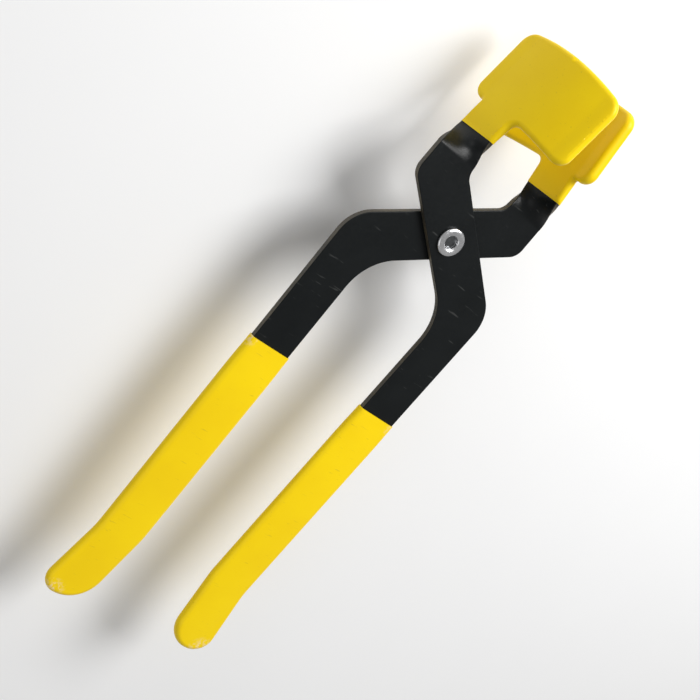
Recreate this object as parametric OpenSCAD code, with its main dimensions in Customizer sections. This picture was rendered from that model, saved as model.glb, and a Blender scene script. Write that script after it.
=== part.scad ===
// Running pliers: two identical pressed-steel levers on one rivet, with dipped grips and jaws.
// X points to the jaws, Z is the pivot axis, and the origin is the centre of the rivet's lower head.

/* [Lever bar] */
// Thickness of the pressed steel bar
bar_t = 2.4; // [2:0.1:3]
// Distance from the pivot to the end of each handle
handle_reach = 178.6; // [145:1:215]
// Width of the bar along the handle
handle_w = 16.4; // [13:0.1:20]
// Distance of the handle's outer edge from the centre line, carried on to the pivot
handle_out = 36.25; // [34:0.25:40]
// Angle by which the handles close in towards their ends
handle_toe = 1.15; // [0:0.05:1.5]
// Outside radius of the bend between the handle and the crossing bar
bend_out_r = 14; // [10:1:18]
// Inside radius of the same bend
bend_in_r = 20; // [12:1:24]

/* [Handle end] */
// Length of the flared end of the handle
flare_len = 28; // [20:1:36]
// Outward slope of the flared end's outer edge
flare_out = 8; // [2:0.5:12]
// Outward slope of the flared end's inner edge
flare_in = 6; // [2:0.5:10]
// Radius of the flare's gentle bends
flare_r = 40; // [20:1:60]
// Radius of the outer corner of the handle end
end_out_r = 5.8; // [3:0.2:7]
// Radius of the inner corner of the handle end
end_in_r = 11; // [5:0.5:12]

/* [Crossing bar] */
// Slope of the bar where the levers cross
cross_angle = 55.5; // [50:0.5:60]
// Pivot centre to the edge on the jaw side
cross_front = 10.15; // [9:0.05:11]
// Pivot centre to the edge on the handle side
cross_back = 7.8; // [7:0.05:9]

/* [Neck] */
// Distance of the neck's outer edge from the centre line
neck_out = 29.3; // [27:0.1:31]
// Width of the flat neck
neck_w = 17.4; // [15:0.1:19]
// Width of the neck where it joins the jaw
neck_end_w = 15.4; // [13:0.1:16]
// Outside radius of the bend into the neck
neck_out_r = 6; // [3:0.5:8]
// Inside radius of the bend into the neck
neck_in_r = 5; // [3:0.5:7]
// Distance from the pivot at which the neck starts to twist
twist_start = 22.5; // [22.5:0.1:24]
// Distance from the pivot at which the twist is complete
twist_end = 34; // [31:0.5:37]
// Distance along the jaw from its middle to the neck's centre
neck_shift = 8.2; // [5:0.1:10]

/* [Jaw] */
// Distance from the pivot to the back edge of the covered jaw
jaw_start = 42.5; // [41:0.5:46]
// Length of the covered jaw along the tool
jaw_len = 28.4; // [22:0.1:34]
// Width of the covered jaw along its arch
jaw_w = 46; // [38:0.5:56]
// Radius of the arch through the middle of the jaw plate
arch_r = 64.8; // [50:0.1:90]
// Height of the jaw's middle above the centre line at its back edge
jaw_rise = 13.6; // [12:0.1:17]
// Offset of the jaw's middle along the pivot axis
jaw_offset = 5.3; // [3:0.1:7]
// Lean of the jaw about the tool's long axis
jaw_lean = 20.7; // [15:0.1:25]
// Angle by which the jaw closes in towards its tip
jaw_close = 3.8; // [2:0.1:5]
// Angle by which the jaw's tip rises along the pivot axis
jaw_yaw = 3.2; // [0:0.1:5]
// Bow of the front edge from its middle to its corners
front_bow = 2.2; // [0:0.1:4]
// Bow of the back edge from its middle to its corners
back_bow = 1.5; // [0:0.1:3]
// Corner radius of the covered jaw
jaw_corner_r = 4.8; // [3:0.1:8]

/* [Dipped coating] */
// Wall of the coating on the jaws
cover_t = 0.6; // [0.4:0.05:0.9]
// Distance from the pivot to the coating's edge on the neck
cover_start = 33; // [30:0.5:36]
// Wall of the coating on the handles
grip_t = 1.1; // [0.8:0.05:1.3]
// Distance from the pivot to the coating's edge on the handles
grip_start = 65; // [50:1:90]

/* [Rivet] */
// Radius of the rivet's shank
shank_r = 2.95; // [2.4:0.05:3.5]
// Radial clearance of the shank in the levers
running_gap = 0.05; // [0.02:0.01:0.1]
// Radius of the rivet's two heads
head_r = 5.1; // [4.6:0.1:6]
// Height of each head
head_h = 1.3; // [1:0.1:1.8]
// Radius of the recess in the rolled upper head
recess_r = 2.4; // [1.8:0.1:2.4]
// Depth of the recess in the upper head
recess_depth = 1.6; // [0.8:0.1:2.5]
// Clearance between the two levers
lever_gap = 0.1; // [0.05:0.01:0.2]

/* [Hidden] */
$fn = 64;

arc_steps = 8;        // Straight pieces in each rounded corner
cols = 10;            // Strips across the neck and the jaw
twist_rings = 7;      // Sections along the twist
root_rings = 5;       // Sections from the coating's edge to the jaw
root_fillet = 1;      // Length over which the neck spreads into the jaw
lap = 1;              // Length by which the twist's root is let into the bar
lap_slack = 0.1;      // Amount by which that root is slimmer than the bar
seat_gap = 0.05;      // Clearance under the upper head
mid_z = head_h + bar_t + lever_gap/2;
neck_phi = -deg(neck_shift/arch_r);

// A straight edge is [point, direction], with the steel on its left
handle_edge = [[0, -handle_out], -handle_toe];
handle_inner = [[0, -handle_out + handle_w/cos(handle_toe)], 180 - handle_toe];
front_edge = [[cross_front*sin(cross_angle), -cross_front*cos(cross_angle)], cross_angle];
back_edge = [[-cross_back*sin(cross_angle), cross_back*cos(cross_angle)], cross_angle + 180];
neck_inner = [[0, neck_out - neck_w], 0];
neck_outer = [[0, neck_out], 180];
neck_face = [[twist_start, 0], 90];
end_face = [[-handle_reach, 0], 270];
grip_face = [[-grip_start, 0], 90];
flare_x = flare_len - handle_reach;
flare_outer = [on_edge(handle_edge, flare_x), flare_out];
flare_inner = [on_edge(handle_inner, flare_x + 3), 180 + flare_in];
end_w = (meet(flare_inner, end_face) - meet(end_face, flare_outer)).y;
end_fit = min(1, 0.98*end_w/(end_out_r*tan(turn(end_face, flare_outer)/2)
    + end_in_r*tan(turn(flare_inner, end_face)/2)));

function deg(a) = a*180/PI;
function unit(a) = [cos(a), sin(a)];
function mix(a, b, k) = a + (b - a)*k;
function smooth(k) = let(c = max(0, min(1, k))) c*c*(3 - 2*c);
// The point of an edge at a given x
function on_edge(e, x) = [x, e[0].y + (x - e[0].x)*tan(e[1])];
// An edge moved outwards by d
function shift(e, d) = [e[0] + d*unit(e[1] - 90), e[1]];
// The point where two edges cross
function meet(e, f) =
    let(u = unit(e[1]), v = unit(f[1]), w = f[0] - e[0])
    e[0] + u*(w.x*v.y - w.y*v.x)/(u.x*v.y - u.y*v.x);
function turn(e, f) = let(d = f[1] - e[1]) d > 180 ? d - 360 : d < -180 ? d + 360 : d;
// The rounded corner between two edges
function corner(e, f, r) =
    let(s = sign(turn(e, f)), c = meet(shift(e, -s*r), shift(f, -s*r)))
    [for (k = [0 : arc_steps]) c + s*r*unit(e[1] - 90 + turn(e, f)*k/arc_steps)];

function lever_outline() = concat(
    corner(flare_outer, handle_edge, flare_r),
    corner(handle_edge, front_edge, bend_out_r),
    corner(front_edge, neck_inner, neck_in_r),
    [meet(neck_inner, neck_face), meet(neck_face, neck_outer)],
    corner(neck_outer, back_edge, neck_out_r),
    corner(back_edge, handle_inner, bend_in_r),
    corner(handle_inner, flare_inner, flare_r),
    corner(flare_inner, end_face, end_fit*end_in_r),
    corner(end_face, flare_outer, end_fit*end_out_r));

function grip_outline(g) = concat(
    corner(shift(flare_outer, g), shift(handle_edge, g), flare_r - g),
    [meet(shift(handle_edge, g), grip_face), meet(grip_face, shift(handle_inner, g))],
    corner(shift(handle_inner, g), shift(flare_inner, g), flare_r + g),
    corner(shift(flare_inner, g), shift(end_face, g), end_fit*end_in_r + g),
    corner(shift(end_face, g), shift(flare_outer, g), end_fit*end_out_r + g));

// A vector in the jaw's own directions turned into the lever's
function lean(v) = [v.x, v.y*cos(jaw_lean) - v.z*sin(jaw_lean), v.y*sin(jaw_lean) + v.z*cos(jaw_lean)];
function close(v) = [v.x*cos(jaw_close) + v.y*sin(jaw_close), v.y*cos(jaw_close) - v.x*sin(jaw_close), v.z];
function yaw(v) = [v.x*cos(jaw_yaw) - v.z*sin(jaw_yaw), v.y, v.x*sin(jaw_yaw) + v.z*cos(jaw_yaw)];
function jaw_dir(v) = yaw(close(lean(v)));
jaw_origin = [jaw_start, jaw_rise, jaw_offset];
root_mid = jaw_origin + jaw_dir([0, arch_r*(cos(neck_phi) - 1), arch_r*sin(neck_phi)]);
root_across = jaw_dir([0, -sin(neck_phi), cos(neck_phi)]);
root_along = jaw_dir([1, 0, 0]);
root_angle = atan2(root_across.z, -root_across.y);

// A point on the jaw's middle surface, x along the tool and s along the arch, then h outwards
function on_jaw(x, s, h) =
    let(phi = deg(s/arch_r), r = arch_r + h)
    jaw_origin + jaw_dir([x, r*cos(phi) - arch_r, r*sin(phi)]);

// A point of the flat or twisted neck at x, at a share f of its width; its edges run almost straight
function on_neck(x, f, g, h) =
    let(t = max(0, min(1, (x - twist_start)/(twist_end - twist_start))),
        k = (t + smooth(t))/2,
        flat_mid = [x, neck_out - neck_w/2, (lever_gap + bar_t)/2],
        end_mid = root_mid + root_along*(x - root_mid.x)/root_along.x,
        a = atan2(k*sin(root_angle), 1 - k + k*cos(root_angle)),
        w = mix(neck_w, neck_end_w, k)/2*cos(root_angle/2)/cos(root_angle/2 - a) + g)
    mix(flat_mid, end_mid, k) + w*f*[0, -cos(a), sin(a)] + h*[0, sin(a), cos(a)];

// The closed loop of points round one section, its upper face first
function loop(upper_face, lower_face) = concat(upper_face, [for (k = [cols : -1 : 0]) lower_face[k]]);

// A section of the neck at x, which takes the jaw's arch as it nears the jaw
function neck_ring(x, g) =
    let(k = smooth((x - cover_start)/(jaw_start - cover_start)),
        faces = [for (h = [1, -1]*(bar_t/2 + g)) [for (c = [0 : cols])
            let(f = 2*c/cols - 1, s = f*(neck_end_w/2 + g) - neck_shift)
            mix(on_neck(x, f, g, h), on_jaw(x - jaw_start, s, h), k)]])
    loop(faces[0], faces[1]);

// A section across the jaw at a share v of its length, its outline pulled in by c
function jaw_ring(v, c, g) =
    let(r = jaw_corner_r - c,
        x = c + v*(jaw_len - 2*c),
        e = max(0, r - min(x - c, jaw_len - c - x)),
        w = jaw_w/2 - c - r + sqrt(max(0, r*r - e*e)),
        bow = mix(back_bow, front_bow, v),
        faces = [for (h = [1, -1]*(bar_t/2 + g)) [for (i = [0 : cols])
            let(s = w*(2*i/cols - 1), u = 2*s/jaw_w) on_jaw(x - u*u*bow, s, h)]])
    loop(faces[0], faces[1]);

// The shares of the jaw's length at which it is cut, closer together round its corners
jaw_cuts = let(q = jaw_corner_r/jaw_len)
    concat([for (k = [0 : 4]) q*(1 - cos(22.5*k))], [0.35, 0.5, 0.65], [for (k = [0 : 4]) 1 - q*(1 - sin(22.5*k))]);
// All sections of a skin grown by g, from one x to the tip; a fillet leads from neck to jaw
function skin_rings(xs, c, g) = concat(
    [for (x = xs) neck_ring(x, g)],
    [for (v = jaw_cuts) jaw_ring(v, c, g)]);
function steps(x0, x1, n) = [for (k = [0 : n]) mix(x0, x1, k/n)];
neck_root = jaw_start - root_fillet;
root_cuts = steps(cover_start, neck_root, root_rings);

// Faces between successive loops of n points; flip turns them inside out
function walls(rings, n, base, flip) = [for (j = [0 : rings - 2], i = [0 : n - 1], half = [0, 1])
    let(a = base + j*n + i, b = base + j*n + (i + 1)%n, t = half == 0 ? [a, a + n, b] : [b, a + n, b + n])
    flip ? [t.x, t.z, t.y] : t];
// Faces that close a loop whose first point is base
function cap(base, flip) = [for (i = [0 : cols - 1], half = [0, 1])
    let(a = base + i, b = base + 2*cols + 1 - i, t = half == 0 ? [a, b, a + 1] : [a + 1, b, b - 1])
    flip ? [t.x, t.z, t.y] : t];
function flat(rings) = [for (r = rings, p = r) p];

module jaw_and_neck() {
    sections = concat(steps(twist_start, cover_start, twist_rings), [for (k = [1 : root_rings]) root_cuts[k]]);
    rings = concat([neck_ring(twist_start - lap, -lap_slack)], skin_rings(sections, cover_t, 0));
    n = 2*cols + 2;
    polyhedron(flat(rings), concat(walls(len(rings), n, 0, false), cap(0, true),
        cap((len(rings) - 1)*n, false)));
}

// One bare lever, lying on the gap between the levers
module lever() {
    difference() {
        translate([0, 0, lever_gap/2]) linear_extrude(height = bar_t) polygon(lever_outline());
        translate([0, 0, -1]) cylinder(r = shank_r + running_gap, h = bar_t + 2);
    }
    jaw_and_neck();
}

module grip() {
    difference() {
        translate([0, 0, lever_gap/2 - grip_t]) linear_extrude(height = bar_t + 2*grip_t)
            polygon(grip_outline(grip_t));
        translate([0, 0, lever_gap/2]) linear_extrude(height = bar_t) polygon(lever_outline());
    }
}

// The coating: an outer and an inner skin, joined round the edge on the neck
module jaw_cover() {
    outer = skin_rings(root_cuts, 0, cover_t);
    inner = skin_rings(root_cuts, cover_t, 0);
    n = 2*cols + 2;
    last = (len(outer) - 1)*n;
    base = len(outer)*n;
    edge = [for (i = [0 : n - 1], half = [0, 1]) let(j = (i + 1)%n)
        half == 0 ? [i, j, base + i] : [j, base + j, base + i]];
    polyhedron(flat(concat(outer, inner)), concat(walls(len(outer), n, 0, false), cap(last, false),
        walls(len(inner), n, base, true), cap(base + last, true), edge));
}

// Places a piece of the upper lever, or turns it over for the lower one
module upper() translate([0, 0, mid_z]) children();
module lower() translate([0, 0, mid_z]) rotate([180, 0, 0]) children();

module rear_lever() color([0.1, 0.11, 0.12]) lower() lever();
module rear_grip() color([0.97, 0.84, 0.05]) lower() grip();
module rear_jaw_cover() color([0.83, 0.71, 0.09]) lower() jaw_cover();
module front_lever() color([0.1, 0.11, 0.12]) upper() lever();
module front_grip() color([0.97, 0.84, 0.05]) upper() grip();
module front_jaw_cover() color([0.83, 0.71, 0.09]) upper() jaw_cover();

module pivot_rivet() color([0.82, 0.82, 0.84]) {
    top = 2*mid_z - head_h + seat_gap;
    dome = head_h/2;
    rotate_extrude($fn = 96) polygon(concat(
        [[0, 0], [head_r - dome/2, 0], [head_r, dome/2], [head_r, head_h], [shank_r, head_h],
         [shank_r, top], [head_r, top]],
        [for (k = [0 : arc_steps]) let(a = 180*k/arc_steps, r = (head_r - recess_r)/2)
            [recess_r + r + r*cos(a), top + head_h - dome + dome*sin(a)]],
        [[recess_r, top + head_h - recess_depth], [0, top + head_h - recess_depth]]));
}

rear_lever();
rear_grip();
rear_jaw_cover();
pivot_rivet();
front_lever();
front_grip();
front_jaw_cover();
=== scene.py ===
"""Running pliers: two black pressed levers on one rivet, with dipped yellow grips and jaws."""

import logging
import math
from dataclasses import dataclass, replace
from enum import Enum
from typing import Callable

import bmesh
import bpy
from mathutils import Matrix, Vector

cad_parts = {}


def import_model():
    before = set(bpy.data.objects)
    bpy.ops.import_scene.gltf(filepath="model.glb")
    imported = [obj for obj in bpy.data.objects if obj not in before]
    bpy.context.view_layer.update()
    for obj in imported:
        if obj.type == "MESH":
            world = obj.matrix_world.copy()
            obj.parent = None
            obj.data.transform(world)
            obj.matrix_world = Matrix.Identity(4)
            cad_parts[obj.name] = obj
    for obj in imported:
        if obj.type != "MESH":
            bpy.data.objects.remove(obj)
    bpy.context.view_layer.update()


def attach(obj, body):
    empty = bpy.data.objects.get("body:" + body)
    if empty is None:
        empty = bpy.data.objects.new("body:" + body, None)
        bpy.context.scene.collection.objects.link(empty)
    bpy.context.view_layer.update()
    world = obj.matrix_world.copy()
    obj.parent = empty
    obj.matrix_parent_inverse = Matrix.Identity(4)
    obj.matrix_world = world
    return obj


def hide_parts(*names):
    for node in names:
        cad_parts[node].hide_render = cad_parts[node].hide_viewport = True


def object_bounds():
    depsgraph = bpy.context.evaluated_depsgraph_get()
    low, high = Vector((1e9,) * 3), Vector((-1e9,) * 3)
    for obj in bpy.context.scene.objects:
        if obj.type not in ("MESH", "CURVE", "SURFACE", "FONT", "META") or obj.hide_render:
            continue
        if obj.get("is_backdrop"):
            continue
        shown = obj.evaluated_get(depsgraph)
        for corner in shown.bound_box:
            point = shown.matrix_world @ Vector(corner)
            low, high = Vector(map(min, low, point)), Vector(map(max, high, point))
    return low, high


LOG = logging.getLogger("pliers")
MM = 0.001
WELD = 2e-4
EDGE_LIMIT = 0.35
FLOOR_GAP = 0.0002
SHARP_ANGLE = 40
Point = tuple[float, float]
Edge = tuple[Vector, float]
Colour = tuple[float, float, float]
Place = tuple[float, float, float]
Spot = tuple[float, float, float, float]
Socket = bpy.types.NodeSocket
Plate = bmesh.types.BMesh


class Side(Enum):
    """Which of the two levers a piece belongs to."""

    FRONT = "front"
    REAR = "rear"

    @property
    def body(self) -> str:
        """Name of the CAD body that the piece moves with."""
        return f"{self.value}_half"


@dataclass(frozen=True)
class BarSize:
    """Sizes of the flat lever bar, in millimetres and degrees."""

    thick: float = 2.4
    gap: float = 0.1
    mid_z: float = 3.75
    reach: float = 178.6
    width: float = 16.4
    out: float = 36.25
    toe: float = 1.15
    bend_out_r: float = 14.0
    bend_in_r: float = 20.0
    flare_len: float = 28.0
    flare_out: float = 8.0
    flare_in: float = 6.0
    flare_r: float = 40.0
    flare_lag: float = 3.0
    end_out_r: float = 5.8
    end_in_r: float = 11.0
    end_fit: float = 0.97
    cross_angle: float = 55.5
    cross_front: float = 10.15
    cross_back: float = 7.8
    bore_r: float = 3.0


@dataclass(frozen=True)
class NeckSize:
    """Sizes of the twisted neck, in millimetres. ease is how softly the twist starts and ends."""

    out: float = 29.3
    width: float = 17.4
    end_width: float = 15.4
    out_r: float = 6.0
    in_r: float = 5.0
    start: float = 22.5
    end: float = 34.0
    shift: float = 8.2
    ease: float = 0.8


@dataclass(frozen=True)
class JawSize:
    """Sizes of the covered jaw, in millimetres and degrees."""

    start: float = 42.5
    length: float = 28.4
    width: float = 46.0
    arch_r: float = 64.8
    rise: float = 13.6
    offset: float = 5.3
    lean: float = 20.7
    close: float = 3.8
    yaw: float = 3.2
    front_bow: float = 2.2
    back_bow: float = 1.5
    corner_r: float = 4.8
    cover_start: float = 33.0
    cover_t: float = 0.6


@dataclass(frozen=True)
class Steps:
    """How many straight pieces each stretch of an outline has."""

    corner: int = 14
    arc: int = 12
    neck: int = 20
    jaw_back: int = 16
    jaw_side: int = 12
    jaw_front: int = 30
    shoulder: int = 4
    bore: int = 96


@dataclass(frozen=True)
class GripSize:
    """Sizes of the dipped handle grips, in millimetres. crown is the share lost at the edges."""

    start: float = 65.0
    spare: float = 4.0
    wall: float = 1.1
    mouth_wall: float = 0.8
    mouth_run: float = 12.0
    mouth_cuts: tuple[float, ...] = (-66.5, -68.5, -71, -74, -78)
    edge_r: float = 2.2
    lip: float = 0.3
    crown: float = 0.2
    crown_cuts: int = 17
    crown_step: float = 1.5
    crown_from: float = -14.0
    fineness: int = 5


@dataclass(frozen=True)
class RivetSize:
    """Sizes of the rivet, in millimetres."""

    shank_r: float = 2.95
    head_r: float = 5.1
    head_h: float = 1.3
    recess_r: float = 2.4
    recess_depth: float = 1.6
    top: float = 6.25
    foot: float = 0.1
    upper_foot: float = 0.15
    floor_dome: float = 0.14
    segments: int = 128


@dataclass(frozen=True)
class Finish:
    """A procedural finish in object coordinates.

    Colours are linear. base and shade mix in broad patches, and fleck lies over them in fine
    streaks. Scales are per metre. spots are patches of spot_colour round places: (x, y, z,
    radius) in metres, with broken edges if ragged. The vinyl's spots are pale patches; the
    plating's spot is painted shade, a dark patch over the floor of the rivet's recess.
    """

    name: str
    base: Colour
    shade: Colour
    rough: Point
    metallic: float = 0.0
    shine: float = 0.5
    grain: float = 600.0
    bump: float = 0.1
    bump_scale: float = 900.0
    fleck: Colour = (0.0, 0.0, 0.0)
    fleck_amount: float = 0.0
    fleck_scale: float = 1500.0
    spots: tuple[Spot, ...] = ()
    spot_colour: Colour = (0.93, 0.72, 0.38)
    ragged: bool = True


def mix(a: float, b: float, k: float) -> float:
    """Straight mix of two numbers."""
    return a + (b - a) * k


def smooth(k: float) -> float:
    """Smooth step from 0 to 1."""
    c = max(0.0, min(1.0, k))
    return c * c * (3 - 2 * c)


def unit(angle: float) -> Vector:
    """Unit vector in the plane at an angle in degrees."""
    return Vector((math.cos(math.radians(angle)), math.sin(math.radians(angle))))


def shift(e: Edge, d: float) -> Edge:
    """The edge moved outwards by d."""
    return e[0] + d * unit(e[1] - 90), e[1]


def meet(e: Edge, f: Edge) -> Vector:
    """The point where two edges cross."""
    u, v, w = unit(e[1]), unit(f[1]), f[0] - e[0]
    return e[0] + u * ((w.x * v.y - w.y * v.x) / (u.x * v.y - u.y * v.x))


def turn(e: Edge, f: Edge) -> float:
    """Turn from one edge to the next, in degrees."""
    return (f[1] - e[1] + 180) % 360 - 180


def applied(ob: bpy.types.Object) -> bpy.types.Mesh:
    """The object's mesh with its modifiers applied.

    Args:
        ob: an object linked to the scene.

    Returns:
        A new mesh.
    """
    dg = bpy.context.evaluated_depsgraph_get()
    dg.update()
    return bpy.data.meshes.new_from_object(ob.evaluated_get(dg))


def linked(name: str, data: bpy.types.ID) -> bpy.types.Object:
    """A new object with that data, linked to the scene.

    Args:
        name: name of the object.
        data: mesh, curve, light or camera that it shows.

    Returns:
        The new object.
    """
    ob = bpy.data.objects.new(name, data)
    bpy.context.collection.objects.link(ob)
    return ob


def cut(bm: Plate, co: Point, no: Point) -> None:
    """Cuts the whole plate along an upright plane through co, square to no."""
    geom = bm.verts[:] + bm.edges[:] + bm.faces[:]
    bmesh.ops.bisect_plane(bm, geom=geom, plane_co=(*co, 0), plane_no=(*no, 0))


def corner(e: Edge, f: Edge, r: float, g: float, steps: int = Steps.corner) -> list[Point]:
    """Rounded corner between two edges, both moved outwards by g.

    Args:
        e: edge that runs into the corner.
        f: edge that leaves it.
        r: radius before the move.
        g: distance of the move.
        steps: straight pieces in the arc.

    Returns:
        Points of the arc, in order.
    """
    s = math.copysign(1, turn(e, f))
    rr = r + s * g
    c = meet(shift(shift(e, g), -s * rr), shift(shift(f, g), -s * rr))
    pts = [c + s * rr * unit(e[1] - 90 + turn(e, f) * k / steps) for k in range(steps + 1)]
    return [(p.x, p.y) for p in pts]


class Form:
    """The common shape of both levers: a flat pattern and the way it is bent."""

    def __init__(self) -> None:
        """Works out the straight edges of the pattern and the frame of the bent jaw."""
        self.bar, self.neck, self.jaw = BarSize(), NeckSize(), JawSize()
        b, n, j = self.bar, self.neck, self.jaw
        self.mid_y = n.out - n.width / 2
        self.handle: Edge = (Vector((0, -b.out)), -b.toe)
        inner = -b.out + b.width / math.cos(math.radians(b.toe))
        self.handle_in: Edge = (Vector((0, inner)), 180 - b.toe)
        self.front: Edge = (b.cross_front * unit(b.cross_angle - 90), b.cross_angle)
        self.back: Edge = (b.cross_back * unit(b.cross_angle + 90), b.cross_angle + 180)
        self.neck_in: Edge = (Vector((0, n.out - n.width)), 0)
        self.neck_out: Edge = (Vector((0, n.out)), 180)
        self.end: Edge = (Vector((-b.reach, 0)), 270)
        x = b.flare_len - b.reach
        self.flare: Edge = (self._on(self.handle, x), b.flare_out)
        self.flare_in: Edge = (self._on(self.handle_in, x + b.flare_lag), 180 + b.flare_in)
        self.turned = self._turned()
        phi = -n.shift / j.arch_r
        self.root = self._origin() + self.turned @ Vector(
            (0, j.arch_r * (math.cos(phi) - 1), j.arch_r * math.sin(phi))
        )
        across = self.turned @ Vector((0, -math.sin(phi), math.cos(phi)))
        self.along = self.turned @ Vector((1, 0, 0))
        self.twist = math.atan2(across.z, -across.y)

    @staticmethod
    def _on(e: Edge, x: float) -> Vector:
        """The point of an edge at x."""
        return Vector((x, e[0].y + (x - e[0].x) * math.tan(math.radians(e[1]))))

    def _origin(self) -> Vector:
        """Middle of the jaw's back edge."""
        return Vector((self.jaw.start, self.jaw.rise, self.jaw.offset))

    def _turned(self) -> Matrix:
        """Rotation from the jaw's own directions to the lever's.

        Returns:
            The rotation: lean, then close, then yaw.
        """
        j = self.jaw
        lean = Matrix.Rotation(math.radians(j.lean), 3, "X")
        close = Matrix.Rotation(math.radians(-j.close), 3, "Z")
        yaw = Matrix.Rotation(math.radians(-j.yaw), 3, "Y")
        return yaw @ close @ lean

    def on_jaw(self, x: float, s: float, h: float) -> Vector:
        """Point of the arched jaw plate.

        Args:
            x: distance along the tool from the jaw's back edge.
            s: distance round the arch from the jaw's middle.
            h: height above the plate's middle.

        Returns:
            The point in the lever's own directions.
        """
        r, phi = self.jaw.arch_r + h, s / self.jaw.arch_r
        local = Vector((x, r * math.cos(phi) - self.jaw.arch_r, r * math.sin(phi)))
        return self._origin() + self.turned @ local

    def twisted(self, x: float) -> tuple[float, float, float]:
        """Share of the twist done at x, its angle, and how far it narrows the neck.

        Args:
            x: distance along the tool.

        Returns:
            The share from 0 to 1, the angle in radians, and the factor on the width.
        """
        n = self.neck
        t = max(0.0, min(1.0, (x - n.start) / (n.end - n.start)))
        k, full = mix(t, smooth(t), n.ease), self.twist
        a = math.atan2(k * math.sin(full), 1 - k + k * math.cos(full))
        return k, a, math.cos(full / 2) / math.cos(full / 2 - a)

    def on_neck(self, x: float, d: float, h: float) -> Vector:
        """Point of the flat or twisted neck, d across from its middle.

        Args:
            x: distance along the tool.
            d: distance across from the neck's middle.
            h: height above the plate's middle.

        Returns:
            The point of the bent neck.
        """
        b, (k, a, _) = self.bar, self.twisted(x)
        flat = Vector((x, self.mid_y, (b.gap + b.thick) / 2))
        far = self.root + self.along * ((x - self.root.x) / self.along.x)
        side = Vector((0, -math.cos(a), math.sin(a)))
        rise = Vector((0, math.sin(a), math.cos(a)))
        return flat.lerp(far, k) + d * side + h * rise

    def place(self, x: float, y: float, h: float) -> Vector:
        """Bends a point of the flat pattern to its place on the front lever.

        Args:
            x: distance along the tool.
            y: distance across the flat pattern.
            h: height above the plate's middle.

        Returns:
            The point in millimetres, before it is lifted to the upper level.
        """
        j, d = self.jaw, self.mid_y - y
        k = smooth((x - j.cover_start) / (j.start - j.cover_start))
        near = self.on_neck(x, d, h)
        if k == 0:
            return near
        return near.lerp(self.on_jaw(x - j.start, d - self.neck.shift, h), k)

    def neck_half(self, x: float) -> float:
        """Half the bare neck's width at x."""
        k, _, narrow = self.twisted(x)
        return mix(self.neck.width, self.neck.end_width, k) / 2 * narrow

    def jaw_loop(self, x0: float, g: float, inset: float, roots: Point) -> list[Point]:
        """Outline of the neck from x0, and of the whole jaw, in the flat pattern.

        Args:
            x0: where the neck starts.
            g: distance by which the outline is moved outwards.
            inset: distance from the covered jaw's edge to this plate's edge.
            roots: fillet radii at the neck's lower and upper edges.

        Returns:
            Points from the neck's lower edge round the jaw to its upper edge.
        """
        j, n, count = self.jaw, self.neck, Steps()
        lo, hi = j.start + inset - g, j.start + j.length - inset + g
        half, r = j.width / 2 - inset + g, j.corner_r - inset + g
        pts: list[Point] = []

        def add(x: float, s: float) -> None:
            """Adds a point, bowed with the jaw's ends; the bow fades along the neck.

            Args:
                x: distance along the tool.
                s: distance across from the jaw's middle.
            """
            bow = mix(j.back_bow, j.front_bow, (x - lo) / (hi - lo))
            root = min(1.0, max(0.0, 1 - (lo - x) / max(roots)))
            u = 2 * s / j.width
            pts.append((x - u * u * bow * root, self.mid_y - s - n.shift))

        def arc(cx: float, cs: float, rad: float, a0: float, a1: float) -> None:
            """Adds an arc about (cx, cs), from angle a0 to a1.

            Args:
                cx: centre, along the tool.
                cs: centre, across it.
                rad: radius of the arc.
                a0: first angle, in degrees.
                a1: last angle, in degrees.
            """
            for i in range(count.arc + 1):
                a = math.radians(mix(a0, a1, i / count.arc))
                add(cx + rad * math.cos(a), cs + rad * math.sin(a))

        def run(x_a: float, s_a: float, x_b: float, s_b: float, steps: int) -> None:
            """Adds the points between two corners, without the corners."""
            for i in range(1, steps):
                add(mix(x_a, x_b, i / steps), mix(s_a, s_b, i / steps))

        def side(sign: int, x1: float) -> list[Point]:
            """One edge of the neck, from x0 to x1: sign is 1 for the lower edge."""
            xs = [mix(x0, x1, i / count.neck) for i in range(count.neck)]
            return [(x, self.mid_y - sign * (self.neck_half(x) + g)) for x in xs]

        low, high = roots[0] - g, roots[1] - g
        s_lo = self.neck_half(lo) + g - n.shift
        s_hi = -self.neck_half(lo) - g - n.shift
        pts += side(1, lo - low)
        arc(lo - low, s_lo + low, low, -90, 0)
        run(lo, s_lo + low, lo, half - r, count.jaw_back)
        arc(lo + r, half - r, r, 180, 90)
        run(lo + r, half, hi - r, half, count.jaw_side)
        arc(hi - r, half - r, r, 90, 0)
        run(hi, half - r, hi, r - half, count.jaw_front)
        arc(hi - r, r - half, r, 0, -90)
        run(hi - r, -half, lo + r, -half, count.jaw_side)
        arc(lo + r, r - half, r, -90, -180)
        if s_hi - high > r - half:
            run(lo, r - half, lo, s_hi - high, count.shoulder)
        arc(lo - high, s_hi - high, high, 0, 90)
        pts += side(-1, lo - high)[::-1]
        return pts

    def lever_loop(self, g: float, start_gap: float, roots: Point) -> list[Point]:
        """Whole flat outline of a bare lever.

        Args:
            g: distance by which the outline is moved outwards.
            start_gap: distance from the twist's start to the neck's first point.
            roots: fillet radii where the neck meets the jaw.

        Returns:
            Points of the closed outline, in order.
        """
        b, n = self.bar, self.neck
        loop = corner(self.flare, self.handle, b.flare_r, g)
        loop += corner(self.handle, self.front, b.bend_out_r, g)
        loop += [p for p in corner(self.front, self.neck_in, n.in_r, g) if p[0] <= n.start]
        loop += self.jaw_loop(n.start + start_gap, g, self.jaw.cover_t, roots)
        loop += corner(self.neck_out, self.back, n.out_r, g)
        loop += corner(self.back, self.handle_in, b.bend_in_r, g)
        return loop + self.end_loop(g)

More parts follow.
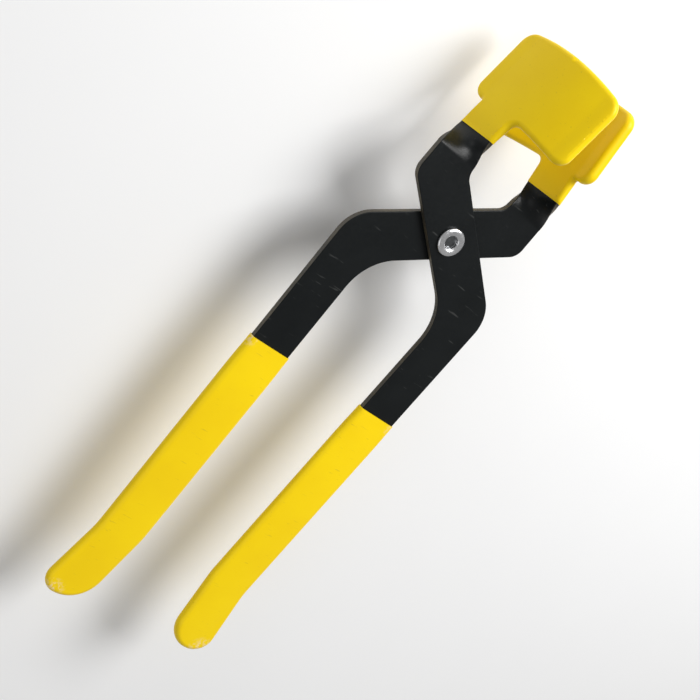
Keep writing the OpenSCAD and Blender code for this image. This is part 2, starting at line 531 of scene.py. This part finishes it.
    def end_loop(self, g: float) -> list[Point]:
        """The flared end of a handle, from its inner to its outer edge.

        Args:
            g: distance by which the outline is moved outwards.

        Returns:
            Points round the end, in order.
        """
        b = self.bar
        loop = corner(self.handle_in, self.flare_in, b.flare_r, g)
        loop += corner(self.flare_in, self.end, b.end_in_r * b.end_fit, g)
        return loop + corner(self.end, self.flare, b.end_out_r * b.end_fit, g)

    def grip_loop(self, g: float, mouth: float) -> list[Point]:
        """Flat outline of a grip, moved outwards by g, open end at x = -mouth.

        Args:
            g: distance by which the outline is moved outwards.
            mouth: distance from the pivot to the grip's open end.

        Returns:
            Points of the closed outline, in order.
        """
        loop = corner(self.flare, self.handle, self.bar.flare_r, g)
        face: Edge = (Vector((-mouth, 0)), 90)
        a, b = meet(shift(self.handle, g), face), meet(face, shift(self.handle_in, g))
        return loop + [(a.x, a.y), (b.x, b.y)] + self.end_loop(g)


class Maker:
    """Turns flat patterns into finished Blender pieces."""

    sheet_low = -14.0
    sheet_depth = 52.0
    lip_steps = 4

    def __init__(self, form: Form) -> None:
        """Keeps the form that every piece is bent to."""
        self.form = form

    @staticmethod
    def plate(loops: list[list[Point]], half: float, edge: float, res: int) -> Plate:
        """A flat plate with rounded edges.

        Args:
            loops: outline, then any holes, already drawn in by the edge radius.
            half: half the plate's thickness.
            edge: radius of its edges.
            res: fineness of the edges.

        Returns:
            A closed mesh in millimetres.
        """
        cu = bpy.data.curves.new("pattern", "CURVE")
        cu.dimensions, cu.fill_mode = "2D", "BOTH"
        cu.extrude, cu.bevel_depth, cu.bevel_resolution = half - edge, edge, res
        for pts in loops:
            sp = cu.splines.new("POLY")
            sp.points.add(len(pts) - 1)
            for q, (x, y) in zip(sp.points, pts):
                q.co = (x, y, 0, 1)
            sp.use_cyclic_u = True
        ob = linked("pattern", cu)
        me = applied(ob)
        bm = bmesh.new()
        bm.from_mesh(me)
        bpy.data.objects.remove(ob)
        bpy.data.meshes.remove(me)
        bmesh.ops.remove_doubles(bm, verts=bm.verts, dist=WELD)
        bmesh.ops.recalc_face_normals(bm, faces=bm.faces)
        return bm

    @staticmethod
    def mouth(bm: Plate, x: float, keep: int, lip: float) -> None:
        """Cuts the plate square at x and rounds the lip.

        Args:
            bm: the plate.
            x: where it is cut.
            keep: +1 to keep the part beyond x, -1 to keep the part before it.
            lip: radius of the rounded lip.
        """
        geom = bm.verts[:] + bm.edges[:] + bm.faces[:]
        trimmed = bmesh.ops.bisect_plane(
            bm, geom=geom, plane_co=(x, 0, 0), plane_no=(-keep, 0, 0), clear_outer=True
        )
        rim = [e for e in trimmed["geom_cut"] if isinstance(e, bmesh.types.BMEdge)]
        face = bmesh.ops.contextual_create(bm, geom=rim)["faces"]
        edges = list({e for f in face for e in f.edges})
        steps = Maker.lip_steps
        bmesh.ops.bevel(
            bm, geom=edges, offset=lip, segments=steps, profile=0.5, affect="EDGES", clamp_overlap=True
        )
        bmesh.ops.recalc_face_normals(bm, faces=bm.faces)

    @staticmethod
    def grid(bm: Plate, x0: float, x1: float, step: float, y_step: float) -> None:
        """Cuts the plate into a grid, so that it can bend.

        Args:
            bm: the plate.
            x0: first cut across it.
            x1: last cut across it.
            step: distance between those cuts.
            y_step: distance between the cuts along it.
        """
        for i in range(int((x1 - x0) / step) + 1):
            cut(bm, (x0 + i * step, 0), (1, 0))
        for i in range(int(Maker.sheet_depth / y_step)):
            cut(bm, (0, i * y_step + Maker.sheet_low), (0, 1))

    def finish(
        self,
        name: str,
        bm: Plate,
        side: Side,
        mats: list[bpy.types.Material],
        warp: Callable[[float, float, float], Vector],
    ) -> bpy.types.Object:
        """Bends a flat plate, places it on its lever and sets its finish.

        Args:
            name: name of the piece.
            bm: flat plate in millimetres.
            side: lever that it belongs to.
            mats: finish of the faces, then of the sheared edges.
            warp: takes x, y and height in the flat plate to its place.

        Returns:
            The finished object.
        """
        bm.normal_update()
        for f in bm.faces:
            f.smooth = True
            if len(mats) > 1 and abs(f.normal.z) < EDGE_LIMIT:
                f.material_index = 1
        bmesh.ops.triangulate(bm, faces=[f for f in bm.faces if len(f.verts) > 4])
        sign = 1 if side is Side.FRONT else -1
        for v in bm.verts:
            p = warp(v.co.x, v.co.y, v.co.z)
            v.co = Vector((p.x, sign * p.y, sign * p.z + self.form.bar.mid_z)) * MM
        me = bpy.data.meshes.new(name)
        bm.to_mesh(me)
        bm.free()
        ob = linked(name, me)
        for m in mats:
            me.materials.append(m)
        weigh = ob.modifiers.new("normals", "WEIGHTED_NORMAL")
        weigh.keep_sharp = True
        ob.data = applied(ob)
        ob.modifiers.clear()
        ob.data.name = name
        return ob


class Paint:
    """Builds procedural materials from finishes."""

    def __init__(self, finish: Finish) -> None:
        """Starts the material and its object coordinates.

        Args:
            finish: the finish to build.
        """
        self.f = finish
        self.mat = bpy.data.materials.new(finish.name)
        self.mat.use_nodes = True
        self.nt = self.mat.node_tree
        self.co = self.nt.nodes.new("ShaderNodeTexCoord").outputs["Object"]
        self.bsdf = self.nt.nodes["Principled BSDF"]

    def noise(self, scale: float, detail: float = 4, stretch: float = 1) -> Socket:
        """A noise texture's value in object coordinates.

        Args:
            scale: cells per metre.
            detail: how many finer layers are added.
            stretch: scale of one direction; below 1 gives streaks.

        Returns:
            The noise value's socket.
        """
        n = self.nt.nodes
        mp = n.new("ShaderNodeMapping")
        mp.inputs["Scale"].default_value = (1, stretch, 1)
        mp.inputs["Rotation"].default_value = (0.3, 0.2, 0.9)
        self.nt.links.new(self.co, mp.inputs["Vector"])
        t = n.new("ShaderNodeTexNoise")
        t.inputs["Scale"].default_value = scale
        t.inputs["Detail"].default_value = detail
        self.nt.links.new(mp.outputs["Vector"], t.inputs["Vector"])
        return t.outputs["Fac"]

    def ramp(self, value: Socket, a: float, b: float, lo: float, hi: float) -> Socket:
        """Value mapped from a..b to lo..hi, held at both ends.

        Args:
            value: socket of the value.
            a: value that gives lo.
            b: value that gives hi.
            lo: result at a.
            hi: result at b.

        Returns:
            The result's socket.
        """
        m = self.nt.nodes.new("ShaderNodeMapRange")
        for key, v in (("From Min", a), ("From Max", b), ("To Min", lo), ("To Max", hi)):
            m.inputs[key].default_value = v
        self.nt.links.new(value, m.inputs["Value"])
        return m.outputs["Result"]

    def multiply(self, a: Socket, b: Socket) -> Socket:
        """Product of two values.

        Args:
            a: socket of the first value.
            b: socket of the second value.

        Returns:
            The product's socket.
        """
        m = self.nt.nodes.new("ShaderNodeMath")
        m.operation = "MULTIPLY"
        self.nt.links.new(a, m.inputs[0])
        self.nt.links.new(b, m.inputs[1])
        return m.outputs[0]

    def blend(self, k: Socket, a: Socket | Colour, b: Socket | Colour) -> Socket:
        """Mix of two colours, each a socket or three numbers.

        Args:
            k: socket of the share of b.
            a: colour where k is 0.
            b: colour where k is 1.

        Returns:
            The colour's socket.
        """
        m = self.nt.nodes.new("ShaderNodeMix")
        m.data_type = "RGBA"
        self.nt.links.new(k, m.inputs[0])
        for c, sock in ((a, m.inputs[6]), (b, m.inputs[7])):
            if isinstance(c, tuple):
                sock.default_value = (*c, 1)
            else:
                self.nt.links.new(c, sock)
        return m.outputs[2]

    def spot(self, at: Spot) -> Socket:
        """A patch round a place, with a broken or a clean edge.

        Args:
            at: place and radius, in metres.

        Returns:
            The socket of the patch's strength.
        """
        v = self.nt.nodes.new("ShaderNodeVectorMath")
        v.operation = "DISTANCE"
        v.inputs[1].default_value = at[:3]
        self.nt.links.new(self.co, v.inputs[0])
        # A clean edge serves the plating's painted shade in the rivet's recess.
        if not self.f.ragged:
            return self.ramp(v.outputs["Value"], at[3] * 0.88, at[3], 0.9, 0.0)
        near = self.ramp(v.outputs["Value"], 0.0, at[3], 1.0, 0.0)
        return self.multiply(near, self.ramp(self.noise(900, 6), 0.47, 0.56, 0.0, 1.0))

    def build(self) -> bpy.types.Material:
        """Wires the finish.

        Returns:
            The finished material.
        """
        f, nt = self.f, self.nt
        big = self.noise(f.grain * 0.08, 5)
        small = self.noise(f.grain, 6)
        colour = self.blend(self.ramp(big, 0.35, 0.65, 0.0, 1.0), f.base, f.shade)
        if f.fleck_amount:
            k = self.ramp(self.noise(f.fleck_scale, 2, 0.12), 0.68, 0.74, 0.0, f.fleck_amount)
            colour = self.blend(k, colour, f.fleck)
        for at in f.spots:
            colour = self.blend(self.spot(at), colour, f.spot_colour)
        nt.links.new(colour, self.bsdf.inputs["Base Color"])
        rough = self.ramp(small, 0.3, 0.7, f.rough[0], f.rough[1])
        nt.links.new(rough, self.bsdf.inputs["Roughness"])
        self.bsdf.inputs["Metallic"].default_value = f.metallic
        self.bsdf.inputs["Specular IOR Level"].default_value = f.shine
        bump = nt.nodes.new("ShaderNodeBump")
        bump.inputs["Strength"].default_value = f.bump
        bump.inputs["Distance"].default_value = 0.0002
        nt.links.new(self.noise(f.bump_scale, 5), bump.inputs["Height"])
        nt.links.new(bump.outputs["Normal"], self.bsdf.inputs["Normal"])
        return self.mat


class Finishes:
    """The materials, built once."""

    def __init__(self) -> None:
        """Builds every material of the tool."""
        self.black = Paint(Finish(
            "satin black paint", (0.0030, 0.0042, 0.0046), (0.0048, 0.0062, 0.0066), (0.30, 0.40),
            shine=0.22, grain=900, bump=0.12, bump_scale=1400,
            fleck=(0.06, 0.062, 0.06), fleck_amount=0.5, fleck_scale=900,
        )).build()
        self.edge = Paint(Finish(
            "sheared edge", (0.075, 0.062, 0.038), (0.03, 0.027, 0.02), (0.38, 0.6),
            grain=1600, bump=0.35, bump_scale=2600,
            fleck=(0.2, 0.17, 0.11), fleck_amount=0.5, fleck_scale=1800,
        )).build()
        vinyl = Finish(
            "dipped vinyl", (0.92, 0.655, 0.0012), (0.88, 0.605, 0.0012), (0.34, 0.46),
            shine=0.22, grain=500, bump=0.10, bump_scale=650,
            fleck=(0.35, 0.24, 0.03), fleck_amount=0.25, fleck_scale=1500,
            spots=(
                (-0.1775, -0.034, 0.0075, 0.006), (-0.066, -0.0365, 0.007, 0.005),
                (-0.0655, 0.0365, 0.004, 0.004), (-0.178, 0.033, 0.004, 0.005),
            ),
        )
        self.vinyl = Paint(vinyl).build()
        jaw_spots = ((0.0445, -0.019, -0.0215, 0.006), (0.069, 0.018, 0.0275, 0.005))
        self.jaw_vinyl = Paint(replace(vinyl, name="jaw vinyl", spots=jaw_spots)).build()
        self.plate = Paint(Finish(
            "bright plate with painted recess shade", (0.80, 0.80, 0.81), (0.66, 0.665, 0.68), (0.14, 0.30),
            metallic=1.0, grain=1500, bump=0.05, bump_scale=1500,
            fleck=(0.12, 0.11, 0.10), fleck_amount=0.4, fleck_scale=2600,
            # The spot is painted shade: a dark patch over the floor of the rivet's recess.
            spots=((0.0, 0.0, 0.0059, 0.0025),), spot_colour=(0.09, 0.095, 0.10), ragged=False,
        )).build()


@dataclass
class Lever:
    """One pressed steel lever."""

    maker: Maker
    side: Side
    edge_r: float = 0.32
    roots: Point = (2.4, 1.2)
    start_gap: float = 0.5
    bend_end: float = 71.0
    bend_step: float = 0.8
    strip: float = 1.6
    fineness: int = 2

    def build(self, mats: list[bpy.types.Material]) -> bpy.types.Object:
        """Presses, bores and twists the bar.

        Args:
            mats: paint of the faces and of the sheared edges.

        Returns:
            The finished lever.
        """
        form = self.maker.form
        r = form.bar.bore_r + self.edge_r
        bore = [tuple(r * unit(-360 / Steps.bore * i)) for i in range(Steps.bore)]
        loops = [form.lever_loop(-self.edge_r, self.start_gap, self.roots), bore]
        bm = self.maker.plate(loops, form.bar.thick / 2, self.edge_r, self.fineness)
        self.maker.grid(bm, form.neck.start, self.bend_end, self.bend_step, self.strip)
        name = f"{self.side.value}_steel"
        return self.maker.finish(name, bm, self.side, mats, form.place)


@dataclass
class JawCover:
    """The dipped coat on one jaw."""

    maker: Maker
    side: Side
    rim_r: float = 1.7
    lip: float = 0.28
    roots: Point = (3.4, 1.8)
    spare: float = 4.0
    bend_end: float = 71.0
    bend_step: float = 0.7
    strip: float = 1.2
    fineness: int = 5
    mouth_thin: float = 0.82
    mouth_run: float = 6.0
    bead: float = 0.25
    bead_start: float = 16.0
    bead_run: float = 5.0

    def build(self, mat: bpy.types.Material) -> bpy.types.Object:
        """Bends the coat over the jaw.

        Args:
            mat: the vinyl.

        Returns:
            The finished coat.
        """
        form = self.maker.form
        j = form.jaw
        half = form.bar.thick / 2 + j.cover_t
        inward = -self.rim_r + j.cover_t
        loop = form.jaw_loop(j.cover_start - self.spare, inward, j.cover_t, self.roots)
        bm = self.maker.plate([loop], half, self.rim_r, self.fineness)
        self.maker.mouth(bm, j.cover_start, 1, self.lip)
        first = j.cover_start + 0.6
        self.maker.grid(bm, first, self.bend_end, self.bend_step, self.strip)

        def warp(x: float, y: float, h: float) -> Vector:
            """Thins the coat at its mouth, beads it at the jaw's ends and bends it.

            Args:
                x: distance along the tool.
                y: distance across the flat pattern.
                h: height above the plate's middle.

            Returns:
                The bent point, in millimetres.
            """
            thin = mix(self.mouth_thin, 1.0, smooth((x - j.cover_start) / self.mouth_run))
            if x > j.start - 2:
                across = abs(form.mid_y - y - form.neck.shift)
                thin *= 1 + self.bead * smooth((across - self.bead_start) / self.bead_run)
            return form.place(x, y, h * thin)

        return self.maker.finish(f"{self.side.value}_jaw_coat", bm, self.side, [mat], warp)


@dataclass
class Grip:
    """The dipped coat on one handle."""

    maker: Maker
    side: Side
    size: GripSize = GripSize()

    def build(self, mat: bpy.types.Material) -> bpy.types.Object:
        """Draws the coat over the handle.

        Args:
            mat: the vinyl.

        Returns:
            The finished grip.
        """
        form, s = self.maker.form, self.size
        half = form.bar.thick / 2 + s.wall
        loop = form.grip_loop(s.wall - s.edge_r, s.start - s.spare)
        bm = self.maker.plate([loop], half, s.edge_r, s.fineness)
        self.maker.mouth(bm, -s.start, -1, s.lip)
        for x in s.mouth_cuts:
            cut(bm, (x, 0), (1, 0))
        for i in range(s.crown_cuts):
            cut(bm, (0, s.crown_from - s.crown_step * i), (0, 1))
        bare = form.bar.thick / 2

        def warp(x: float, y: float, h: float) -> Vector:
            """Thins the coat at its mouth and crowns it along the handle.

            Args:
                x: distance along the tool.
                y: distance across the flat pattern.
                h: height above the plate's middle.

            Returns:
                The bent point, in millimetres.
            """
            k = smooth((-s.start - x) / s.mouth_run)
            wall = mix(s.mouth_wall, s.wall, k) / s.wall
            thin = (bare + s.wall * wall) / (bare + s.wall)
            middle = form.handle[0].y + form.bar.width / 2 - x * math.tan(math.radians(form.bar.toe))
            narrow = 1 - s.wall * (1 - wall) / (form.bar.width / 2 + s.wall)
            u = min(1.0, abs(y - middle) / (form.bar.width / 2))
            thin *= 1 - s.crown * k * u * u
            return form.place(x, middle + (y - middle) * narrow, h * thin)

        return self.maker.finish(f"{self.side.value}_handle_coat", bm, self.side, [mat], warp)


@dataclass
class Rivet:
    """The pivot rivet, spun from its profile by a node tree."""

    size: RivetSize = RivetSize()

    def profile(self) -> list[Point]:
        """Radius and height of each profile point, from the axis to the axis.

        Returns:
            The points in millimetres.
        """
        s = self.size
        low = s.head_h / 2
        pts = [(0.0, 0.0), (s.head_r - low, 0.0)]
        for i in range(1, 7):
            a = math.radians(15 * i)
            pts.append((s.head_r - low + low * math.sin(a), low - low * math.cos(a)))
        pts += [(s.head_r, s.head_h - s.foot), (s.head_r - s.foot, s.head_h)]
        pts += [(s.shank_r, s.head_h), (s.shank_r, s.top)]
        pts += [(s.head_r - s.upper_foot, s.top), (s.head_r, s.top + s.upper_foot)]
        r = (s.head_r - s.recess_r) / 2
        for i in range(25):
            a = math.pi * i / 24
            pts.append((s.recess_r + r + r * math.cos(a), s.top + s.head_h - low + low * math.sin(a)))
        floor = s.top + s.head_h - s.recess_depth
        pts += [(s.recess_r - 0.05, floor + 0.25), (s.recess_r - 0.3, floor + 0.02)]
        return pts + [(0.9, floor + 0.1), (0.0, floor + s.floor_dome)]

    def tree(self) -> bpy.types.NodeTree:
        """Node tree that spins a profile about Z.

        Returns:
            The tree, with inputs for the point count, the segments and the material.
        """
        nt = bpy.data.node_groups.new("spin profile", "GeometryNodeTree")
        face = nt.interface
        face.new_socket("Geometry", in_out="INPUT", socket_type="NodeSocketGeometry")
        face.new_socket("Points", in_out="INPUT", socket_type="NodeSocketInt")
        face.new_socket("Segments", in_out="INPUT", socket_type="NodeSocketInt")
        face.new_socket("Material", in_out="INPUT", socket_type="NodeSocketMaterial")
        face.new_socket("Geometry", in_out="OUTPUT", socket_type="NodeSocketGeometry")
        n, link = nt.nodes, nt.links.new
        gi, go = n.new("NodeGroupInput"), n.new("NodeGroupOutput")

        def calc(op: str, a: Socket | float, b: Socket | float | None = None) -> Socket:
            """One maths step on sockets or numbers.

            Args:
                op: name of the maths step.
                a: first value.
                b: second value, if the step has one.

            Returns:
                The result's socket.
            """
            m = n.new("ShaderNodeMath")
            m.operation = op
            for value, sock in ((a, m.inputs[0]), (b, m.inputs[1])):
                if isinstance(value, (int, float)):
                    sock.default_value = value
                elif value is not None:
                    link(value, sock)
            return m.outputs[0]

        grid = n.new("GeometryNodeMeshGrid")
        rounds = calc("ADD", gi.outputs["Segments"], 1)
        link(rounds, grid.inputs["Vertices X"])
        link(gi.outputs["Points"], grid.inputs["Vertices Y"])
        index = n.new("GeometryNodeInputIndex").outputs[0]
        row = calc("MODULO", index, gi.outputs["Points"])
        ring = calc("FLOOR", calc("DIVIDE", calc("ADD", index, 0.5), gi.outputs["Points"]))
        angle = calc("MULTIPLY", calc("DIVIDE", ring, gi.outputs["Segments"]), 2 * math.pi)
        pick = n.new("GeometryNodeSampleIndex")
        pick.data_type = "FLOAT_VECTOR"
        link(gi.outputs["Geometry"], pick.inputs["Geometry"])
        link(n.new("GeometryNodeInputPosition").outputs[0], pick.inputs["Value"])
        link(row, pick.inputs["Index"])
        parts = n.new("ShaderNodeSeparateXYZ")
        link(pick.outputs[0], parts.inputs[0])
        out = n.new("ShaderNodeCombineXYZ")
        link(calc("MULTIPLY", parts.outputs["X"], calc("COSINE", angle)), out.inputs["X"])
        link(calc("MULTIPLY", parts.outputs["X"], calc("SINE", angle)), out.inputs["Y"])
        link(parts.outputs["Z"], out.inputs["Z"])
        put = n.new("GeometryNodeSetPosition")
        link(grid.outputs["Mesh"], put.inputs["Geometry"])
        link(out.outputs[0], put.inputs["Position"])
        weld = n.new("GeometryNodeMergeByDistance")
        weld.inputs["Distance"].default_value = 1e-6
        link(put.outputs[0], weld.inputs["Geometry"])
        real = n.new("GeometryNodeRealizeInstances")
        link(weld.outputs[0], real.inputs["Geometry"])
        mat = n.new("GeometryNodeSetMaterial")
        link(real.outputs[0], mat.inputs["Geometry"])
        link(gi.outputs["Material"], mat.inputs["Material"])
        link(mat.outputs[0], go.inputs[0])
        return nt

    def build(self, mat: bpy.types.Material) -> bpy.types.Object:
        """Spins the rivet.

        Args:
            mat: the plating, with painted shade in the recess.

        Returns:
            The finished rivet.
        """
        pts = self.profile()
        me = bpy.data.meshes.new("rivet profile")
        me.from_pydata([(r * MM, 0, z * MM) for r, z in pts], [], [])
        ob = linked("rivet", me)
        mod = ob.modifiers.new("spin", "NODES")
        mod.node_group = self.tree()
        values = {"Points": len(pts), "Segments": self.size.segments, "Material": mat}
        for item in mod.node_group.interface.items_tree:
            if item.in_out == "INPUT" and item.name in values:
                mod[item.identifier] = values[item.name]
        spun = applied(ob)
        ob.modifiers.clear()
        ob.data = spun
        bm = bmesh.new()
        bm.from_mesh(spun)
        bmesh.ops.recalc_face_normals(bm, faces=bm.faces)
        for f in bm.faces:
            f.smooth = True
        for e in bm.edges:
            e.smooth = len(e.link_faces) == 2 and e.calc_face_angle(0) < math.radians(SHARP_ANGLE)
        bm.to_mesh(spun)
        bm.free()
        return ob


@dataclass
class Studio:
    """Floor, lights and camera, in metres."""

    floor_half: float = 4.0
    sky: float = 0.36
    lens: float = 59.07
    sensor: float = 36.0
    camera_at: Place = (0.0054, 0.2409, 0.3151)

    def build(self, floor_z: float) -> None:
        """Sets up a pale plain studio.

        Args:
            floor_z: height of the floor.
        """
        me = bpy.data.meshes.new("floor")
        w = self.floor_half
        corners = [(x, y, floor_z) for x, y in ((-w, -w), (w, -w), (w, w), (-w, w))]
        me.from_pydata(corners, [], [(0, 1, 2, 3)])
        floor = linked("floor", me)
        me.materials.append(Paint(Finish(
            "pale floor", (0.86, 0.86, 0.86), (0.84, 0.84, 0.84), (0.7, 0.8),
            grain=40, bump=0.0,
        )).build())
        floor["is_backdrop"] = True
        world = bpy.context.scene.world or bpy.data.worlds.new("world")
        bpy.context.scene.world = world
        world.use_nodes = True
        sky = world.node_tree.nodes["Background"]
        sky.inputs[0].default_value = (1, 1, 1, 1)
        sky.inputs[1].default_value = self.sky
        self.light("key", (0.52, -0.22, 0.58), 0.45, 7.4)
        self.light("fill", (-0.45, 0.25, 0.55), 0.5, 0.5)
        self.light("edge", (0.45, 0.40, 0.22), 0.25, 0.3)
        self.camera()
        bpy.context.scene.view_settings.view_transform = "Standard"

    @staticmethod
    def light(name: str, at: Place, size: float, power: float) -> None:
        """One square area light aimed at the tool.

        Args:
            name: name of the light.
            at: its place in metres.
            size: side of the square in metres.
            power: its power in watts.
        """
        li = bpy.data.lights.new(name, "AREA")
        li.energy, li.size = power, size
        ob = linked(name, li)
        ob.location = at
        ob.rotation_euler = (Vector((-0.02, 0, 0)) - Vector(at)).to_track_quat("-Z", "Y").to_euler()

    def camera(self) -> None:
        """Camera in front of the jaws, looking down along the tool."""
        cam = bpy.data.cameras.new("camera")
        cam.lens, cam.sensor_width, cam.clip_start = self.lens, self.sensor, 0.01
        ob = linked("camera", cam)
        rows = Matrix(((0.641, 0.754, 0.141), (-0.659, 0.447, 0.605), (0.393, -0.480, 0.784)))
        turned = rows.to_quaternion().to_matrix().to_4x4()
        ob.matrix_world = Matrix.Translation(self.camera_at) @ turned
        bpy.context.scene.camera = ob


def report(ob: bpy.types.Object) -> None:
    """Logs a piece's size and whether it is closed.

    Args:
        ob: a finished piece.
    """
    bm = bmesh.new()
    bm.from_mesh(ob.data)
    open_edges = sum(1 for e in bm.edges if len(e.link_faces) != 2)
    volume = bm.calc_volume(signed=True) * 1e9
    LOG.info("%s: %d faces, %d open edges, %.0f mm3", ob.name, len(bm.faces), open_edges, volume)
    bm.free()


def main() -> None:
    """Builds every piece in order, then the studio."""
    logging.basicConfig(level=logging.INFO, format="%(message)s")
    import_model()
    maker, fin = Maker(Form()), Finishes()
    for side in Side:
        made = {
            "lever": Lever(maker, side).build([fin.black, fin.edge]),
            "jaw_cover": JawCover(maker, side).build(fin.jaw_vinyl),
            "grip": Grip(maker, side).build(fin.vinyl),
        }
        for part, ob in made.items():
            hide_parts(f"{side.value}_{part}")
            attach(ob, side.body)
            report(ob)
    rivet = Rivet().build(fin.plate)
    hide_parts("pivot_rivet")
    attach(rivet, Side.REAR.body)
    report(rivet)
    Studio().build(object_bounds()[0].z - FLOOR_GAP)


if __name__ == "__main__":
    main()
